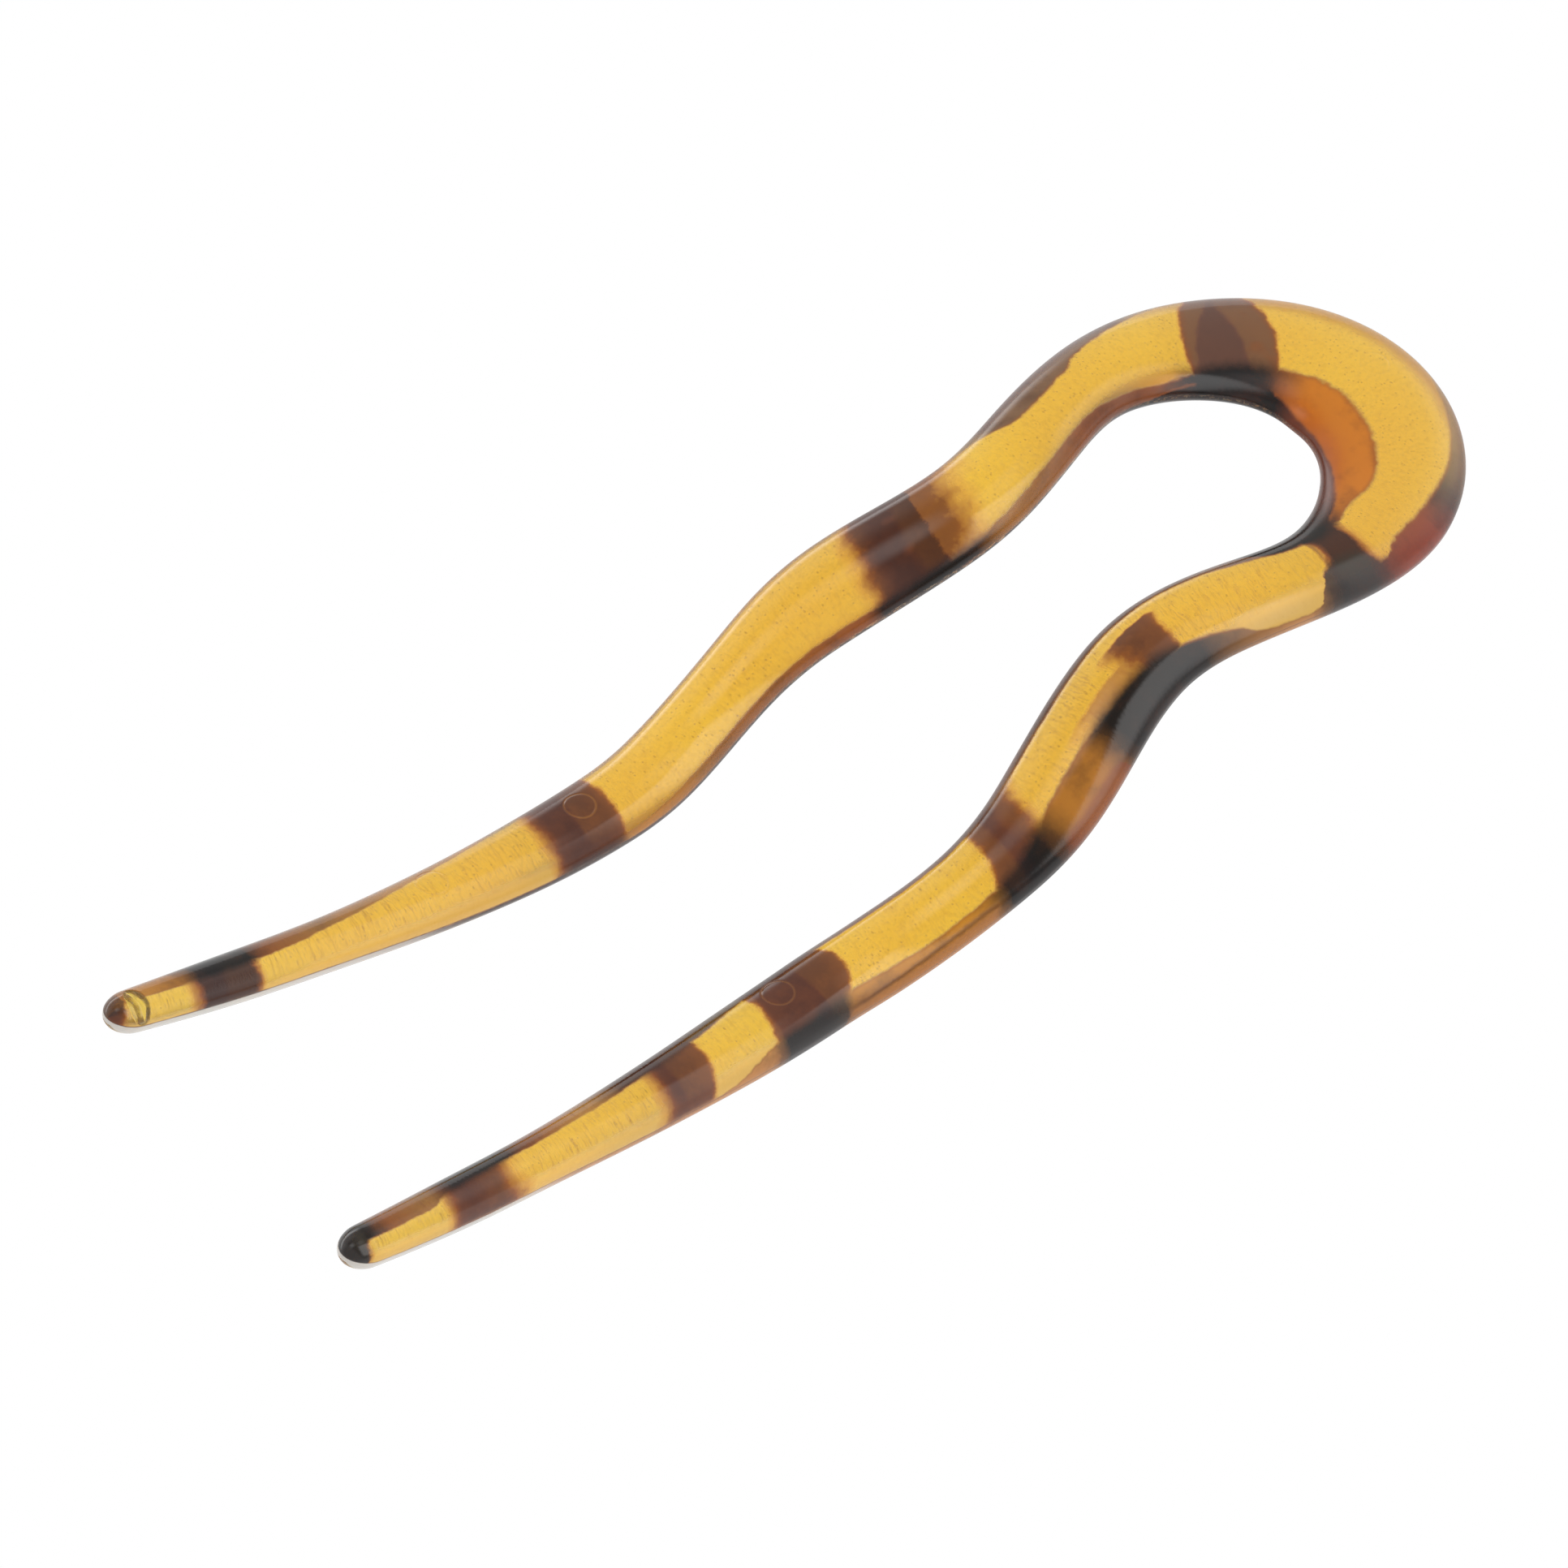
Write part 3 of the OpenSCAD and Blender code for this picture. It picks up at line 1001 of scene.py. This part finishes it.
def side_mask(n, chart, side, dark):
    """Inside the pigment and painted shade on one side of the section, and how far past its edge in
    degrees.
    """
    reach = n.both(n.curve(chart.share, angle_points(side.edge)), HALF_TURN)
    limit = n.step(chart.share, *side.changes, side.far_limit, side.near_limit)
    if side.outer:
        past = n.less(reach, chart.angle)
        within = n.less(chart.angle, limit)
    else:
        past = n.less(chart.angle, reach)
        within = n.less(limit, chart.angle)
    softer = dark if side.softer else 0.0
    soft_start = n.math("MULTIPLY_ADD", softer, SIDE_SOFTER.none, SIDE_SOFT.none)
    soft_end = n.math("MULTIPLY_ADD", softer, SIDE_SOFTER.full, SIDE_SOFT.full)
    return n.both(n.step(past, soft_start, soft_end), n.fade(within, LIMIT_SOFT)), past


def paint_side_pigment_and_shade(n, chart, colour, dark, cloud):
    """Lays on the sides' pigment and painted shade, and the painted shade of the rim inside the bow."""
    smoke = n.both(n.fade(cloud, SMOKE_CLOUD), SMOKE_SHARE)
    for side in SIDES:
        mask, past = side_mask(n, chart, side, dark)
        tone, strength = n.ramp(chart.share, tone_stops(side.tones))
        tone = n.paint(tone, smoke, "umber")
        tone = n.paint(tone, n.both(n.fade(past, SIDE_LINE), n.less(1.0, dark)), "rust")
        colour = n.mix(n.both(mask, strength), colour, tone)
    return colour


def paint_low_tone_and_highlight(n, chart, colour, dark):
    """Lays on the second, lower tone of the outer side, with its painted highlight, and the dark line at
    its edge.
    """
    reach = n.curve(chart.share, angle_points(LOW_EDGE, LOWEST))
    past = n.less(n.math("MULTIPLY_ADD", reach, HALF_TURN, LOWEST), chart.angle)
    within = n.fade(chart.angle, LOW_LIMIT)
    low = n.both(n.fade(past, LOW_SOFT), within)
    line = n.both(n.fade(past, LOW_LINE_OUT), n.fade(past, LOW_LINE_IN))
    stretch = n.both(n.fade(chart.share, LOW_LINE_START), n.fade(chart.share, LOW_LINE_END))
    line = n.both(line, stretch, within)
    tone, strength = n.ramp(chart.share, tone_stops(LOW_TONES))
    bare = n.less(1.0, dark)
    colour = n.mix(n.both(low, strength, bare), colour, tone)
    return n.paint(colour, n.both(line, LOW_LINE_SHARE, bare), "umber")


def paint_cap_shade(n, chart, colour, inside):
    """Painted shade: darkens the very tips."""
    far = n.step(chart.along, CAP_END.none, CAP_END.full, 0.0, FAR_CAP_SHARE)
    far = n.both(far, n.fade(chart.angle, FAR_CAP_ANGLE))
    near = n.step(chart.along, PIN_RUN - CAP_END.none, PIN_RUN - CAP_END.full)
    return n.paint(colour, n.both(n.either(far, near), n.fade(inside, CAP_WIDTHS)), "soot")


def pale_painted_light(n, chart):
    """Painted light: where the plastic below the parting line is painted pale and nearly colourless, for
    the light edge there.
    """
    window = n.both(n.fade(chart.height, PALE_TOP), n.fade(chart.height, PALE_BOTTOM))
    return n.both(n.curve(chart.share, share_points(LOW_PALE_LIGHT)), window)


def parting_line(n, chart):
    """The thin dark line where the halves of the mould met."""
    return n.fade(n.math("ABSOLUTE", n.less(chart.height, PARTING_AT)), PARTING_SOFT)


def ragged_parting(n, chart):
    """Pale chips along the parting line on the inner side."""
    stretched = n.join(n.both(chart.along, CHIPS_ALONG), n.both(chart.height, CHIPS_UP))
    chipped = n.fade(n.noise(stretched, CHIP_GRAIN), CHIPPED)
    strip = n.both(n.fade(chart.height, CHIP_BOTTOM), n.fade(chart.height, CHIP_TOP))
    strip = n.both(strip, n.fade(chart.across, CHIP_ACROSS))
    return n.both(strip, chipped, n.curve(chart.share, share_points(RAGGED)))


def paint_parting(n, chart, colour, pale):
    """Lays on the parting line, the painted light of the pale strip below it and its chips."""
    colour = n.paint(colour, n.both(parting_line(n, chart), PARTING_SHARE), "umber")
    colour = n.paint(colour, pale, "lit_white")
    return n.paint(colour, ragged_parting(n, chart), "cream")


def paint_marks(n, colour):
    """Lays on the colours of the ejector rings and of the gate's scar."""
    scar = n.attribute("scar")
    outline = n.both(n.fade(scar, SCAR_LINE_OUT), n.fade(scar, SCAR_LINE_IN))
    colour = n.paint(colour, n.both(n.attribute("mark"), MARK_SHARE), "apricot")
    colour = n.paint(colour, n.fade(scar, SCAR_FLOOR), "straw")
    return n.paint(colour, n.both(outline, SCAR_LINE_SHARE), "olive")


def clearness(n, settings, colour, milky_lit, pale):
    """Lighter plastic lets more light in, and the milky sides and the pale strip, which carry painted
    light, scatter it instead.
    """
    green = n.split(colour)[1]
    lightness = n.math("POWER", n.math("DIVIDE", green, settings.amber[1]), CLEAR_POWER, clamp=True)
    clear = n.blend(lightness, settings.band_clearness, settings.clearness)
    clear = n.blend(milky_lit, clear, n.math("MINIMUM", clear, settings.milky_lit_clearness))
    return n.blend(pale, clear, settings.milky_lit_clearness)


def polished_plastic(n, settings, colour, clear, rough, height_map):
    """Clear plastic with a polished surface, which tints the light that passes through it."""
    shader = n.make("ShaderNodeBsdfPrincipled")
    n.put(shader.inputs["Base Color"], colour)
    n.put(shader.inputs["Transmission Weight"], clear)
    n.put(shader.inputs["Roughness"], rough)
    shader.inputs["IOR"].default_value = settings.bending
    bump = n.make("ShaderNodeBump")
    bump.inputs["Strength"].default_value = 1.0
    bump.inputs["Distance"].default_value = settings.relief
    n.put(bump.inputs["Height"], height_map)
    n.put(shader.inputs["Normal"], bump.outputs[0])
    depths = n.make("ShaderNodeVolumeAbsorption")
    depths.inputs["Color"].default_value = (*settings.depth_tint, 1)
    depths.inputs["Density"].default_value = settings.depth_density
    out = n.make("ShaderNodeOutputMaterial")
    n.put(out.inputs["Surface"], shader.outputs[0])
    n.put(out.inputs["Volume"], depths.outputs[0])


def tortoiseshell(settings):
    material = bpy.data.materials.new("polished_tortoiseshell")
    material.use_nodes = True
    material.node_tree.nodes.clear()
    n = Nodes(material.node_tree)
    chart = pin_chart(n, settings)
    cloud = n.noise(chart.place, CLOUD_GRAIN)
    facing_up = n.fade(chart.height, FACING_UP)
    height_map, scratches = relief(n, chart, facing_up)
    inside, deep = band_depths(n, chart, cloud)
    brown, dark = band_brown(n, chart, settings, inside, deep, cloud)
    milky_lit = milky_lit_sides(n, chart)
    pale = pale_painted_light(n, chart)

    colour = clear_amber(n, chart, settings, scratches)
    # Painted light: the milky sides are painted bright
    colour = n.paint(colour, milky_lit, "lit_milk")
    colour = n.mix(dark, colour, brown)
    # Pigment and painted shade in the sides, and painted shade in the rim of the bow
    colour = paint_side_pigment_and_shade(n, chart, colour, dark, cloud)
    # The lower tone of the outer side, with a painted highlight
    colour = paint_low_tone_and_highlight(n, chart, colour, dark)
    # Painted shade over the very tips
    colour = paint_cap_shade(n, chart, colour, inside)
    # The parting line, with painted light in the pale strip below it
    colour = paint_parting(n, chart, colour, pale)
    colour = paint_marks(n, colour)

    clear = clearness(n, settings, colour, milky_lit, pale)
    rough = n.blend(facing_up, settings.side_roughness, settings.roughness)
    polished_plastic(n, settings, colour, clear, rough, height_map)
    return material


class HAIRPIN_OT_skin(Operator):
    """Builds the smooth skin of the pin over its solid"""

    bl_idname = "hairpin.skin"
    bl_label = "Build the Pin"

    def execute(self, context):
        skin = smooth_skin(context.scene.hairpin_skin)
        skin.data.materials.clear()
        skin.data.materials.append(tortoiseshell(context.scene.hairpin_plastic))
        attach(skin, "root")
        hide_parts(NODE)
        return {"FINISHED"}


# The camera's sensor in millimetres, and the nearest that it sees, in metres
SENSOR_WIDTH = 36
NEAREST_SEEN = 0.01


def add_camera(settings):
    a = settings.azimuth
    e = settings.elevation
    ahead = Vector((sin(a) * cos(e), cos(a) * cos(e), -sin(e)))
    data = bpy.data.cameras.new("camera")
    data.lens = settings.lens
    data.sensor_width = SENSOR_WIDTH
    data.clip_start = NEAREST_SEEN
    camera = bpy.data.objects.new("camera", data)
    camera.location = Vector(settings.target) - ahead * settings.distance
    camera.rotation_euler = ahead.to_track_quat("-Z", "Y").to_euler()
    bpy.context.collection.objects.link(camera)
    bpy.context.scene.camera = camera


def pale_floor(settings):
    """A wide floor that gives off light, so that it stays pale under the clear plastic."""
    bm = bmesh.new()
    bmesh.ops.create_grid(bm, x_segments=1, y_segments=1, size=settings.floor_reach)
    floor = new_piece("floor", bm)
    material = bpy.data.materials.new("pale_floor")
    material.use_nodes = True
    shader = material.node_tree.nodes["Principled BSDF"]
    shader.inputs["Base Color"].default_value = (0, 0, 0, 1)
    shader.inputs["Roughness"].default_value = 1.0
    shader.inputs["Specular IOR Level"].default_value = 0.0
    shader.inputs["Emission Color"].default_value = (1, 1, 1, 1)
    shader.inputs["Emission Strength"].default_value = settings.floor_glow
    floor.data.materials.append(material)


# Softboxes on the dome of the studio, in degrees from overhead towards the bow (east) and away
# from the camera (north). Each has a crisp side and a side where it fades.
Softbox = namedtuple("Softbox", "east north wide tall turn crisp fade glow")
SOFTBOXES = (
    Softbox(21, -44, 35, 62, -14, 3, 10, 1.9),
    Softbox(26, 0, 18, 20, 0, 4, 6, 0.5),
    Softbox(58, -54, 15, 110, 0, 5, 6, 0.9),
    Softbox(-2, 15, 17, 20, 0, 7, 7, 1.4),
)

# The dim room round the softboxes. A wall starts and is full at a share of the way to the east,
# and goes from its dim to its bright glow.
Wall = namedtuple("Wall", "starts full dim bright")
WALLS = (
    Wall(-0.1, -0.3, 0.28, 0.6),
    Wall(0.1, 0.5, 0.0, 0.2),
    Wall(0.88, 1.0, 0.0, 0.8),
)
# Light from behind, where north and west are in degrees from overhead
BEHIND_NORTH = Fade(30.0, 60.0)
BEHIND_WEST = Fade(42.0, 8.0)
BEHIND_GLOW = 0.6
# Light at the horizon, in degrees from overhead, where it lies in the share that is most to the north
HORIZON_LEAN = Fade(72.0, 86.0)
HORIZON_NORTH = Fade(0.7, 0.95)
HORIZON_GLOW = 2.7
# Stands for no distance from overhead, where a division by nothing would follow
OVERHEAD = 0.001


def softbox_glow(n, east, north, box):
    """Brightness of one softbox as seen in a direction."""
    turn = radians(box.turn)
    from_east = n.less(east, box.east)
    from_north = n.less(north, box.north)
    sideways = n.math("ADD", n.both(from_east, cos(turn)), n.both(from_north, sin(turn)))
    lengthways = n.math("ADD", n.both(from_east, -sin(turn)), n.both(from_north, cos(turn)))
    left = n.step(sideways, -box.wide / 2 - box.crisp, -box.wide / 2 + box.crisp)
    right = n.step(sideways, box.wide / 2 + box.fade, box.wide / 2 - box.fade)
    ends = n.step(n.math("ABSOLUTE", lengthways), box.tall / 2 + box.crisp, box.tall / 2 - box.crisp)
    return n.both(left, right, ends, box.glow)


def room_glow(n):
    """Brightness of the room and its softboxes in the direction that is looked in."""
    way = n.make("ShaderNodeSeparateXYZ")
    n.put(way.inputs[0], n.make("ShaderNodeTexCoord").outputs["Generated"])
    x, y, z = way.outputs
    lean = n.math("DEGREES", n.math("ARCCOSINE", z))
    flat = n.math("SQRT", n.math("MULTIPLY_ADD", x, x, n.both(y, y)))
    scale = n.math("DIVIDE", lean, n.either(flat, OVERHEAD))
    east = n.both(x, scale)
    north = n.both(y, scale)
    glow = 0.0
    for wall in WALLS:
        glow = n.math("ADD", glow, n.step(x, wall.starts, wall.full, wall.dim, wall.bright))
    horizon = n.both(n.fade(lean, HORIZON_LEAN), n.fade(y, HORIZON_NORTH))
    glow = n.math("MULTIPLY_ADD", horizon, HORIZON_GLOW, glow)
    behind = n.both(n.fade(north, BEHIND_NORTH), n.fade(east, BEHIND_WEST))
    glow = n.math("MULTIPLY_ADD", behind, BEHIND_GLOW, glow)
    for box in SOFTBOXES:
        glow = n.math("ADD", glow, softbox_glow(n, east, north, box))
    return glow


def studio_world(settings):
    """A pale backdrop for the camera; the pin sees a dim room with softboxes round it."""
    world = bpy.data.worlds.new("studio")
    world.use_nodes = True
    world.node_tree.nodes.clear()
    n = Nodes(world.node_tree)
    seen = n.make("ShaderNodeLightPath").outputs["Is Camera Ray"]
    light = n.make("ShaderNodeBackground")
    n.put(light.inputs["Strength"], n.blend(seen, room_glow(n), settings.backdrop_glow))
    light.inputs["Color"].default_value = (1, 1, 1, 1)
    out = n.make("ShaderNodeOutputWorld")
    n.put(out.inputs["Surface"], light.outputs[0])
    return world


class HAIRPIN_OT_stage(Operator):
    """Adds the floor, the soft studio light and the camera"""

    bl_idname = "hairpin.stage"
    bl_label = "Set the Stage"

    def execute(self, context):
        settings = context.scene.hairpin_stage
        add_camera(settings)
        pale_floor(settings)
        context.scene.world = studio_world(settings)
        context.scene.view_settings.view_transform = "Standard"
        return {"FINISHED"}


class HAIRPIN_PT_panel(Panel):
    """Shows the settings of the pin and the stage, with buttons that build them"""

    bl_label = "Hair Pin"
    bl_space_type = "VIEW_3D"
    bl_region_type = "UI"
    bl_category = "Hair Pin"

    def draw(self, context):
        layout = self.layout
        scene = context.scene
        for settings in (scene.hairpin_skin, scene.hairpin_plastic, scene.hairpin_stage):
            for name in type(settings).__annotations__:
                layout.prop(settings, name)
        layout.operator(HAIRPIN_OT_skin.bl_idname)
        layout.operator(HAIRPIN_OT_stage.bl_idname)


CLASSES = (
    SkinSettings, PlasticSettings, StageSettings,
    HAIRPIN_OT_skin, HAIRPIN_OT_stage, HAIRPIN_PT_panel,
)


def register():
    for cls in CLASSES:
        bpy.utils.register_class(cls)
    bpy.types.Scene.hairpin_skin = PointerProperty(type=SkinSettings)
    bpy.types.Scene.hairpin_plastic = PointerProperty(type=PlasticSettings)
    bpy.types.Scene.hairpin_stage = PointerProperty(type=StageSettings)


def unregister():
    del bpy.types.Scene.hairpin_stage
    del bpy.types.Scene.hairpin_plastic
    del bpy.types.Scene.hairpin_skin
    for cls in reversed(CLASSES):
        bpy.utils.unregister_class(cls)


def main():
    register()
    bpy.ops.hairpin.skin()
    bpy.ops.hairpin.stage()


if __name__ == "__main__":
    main()
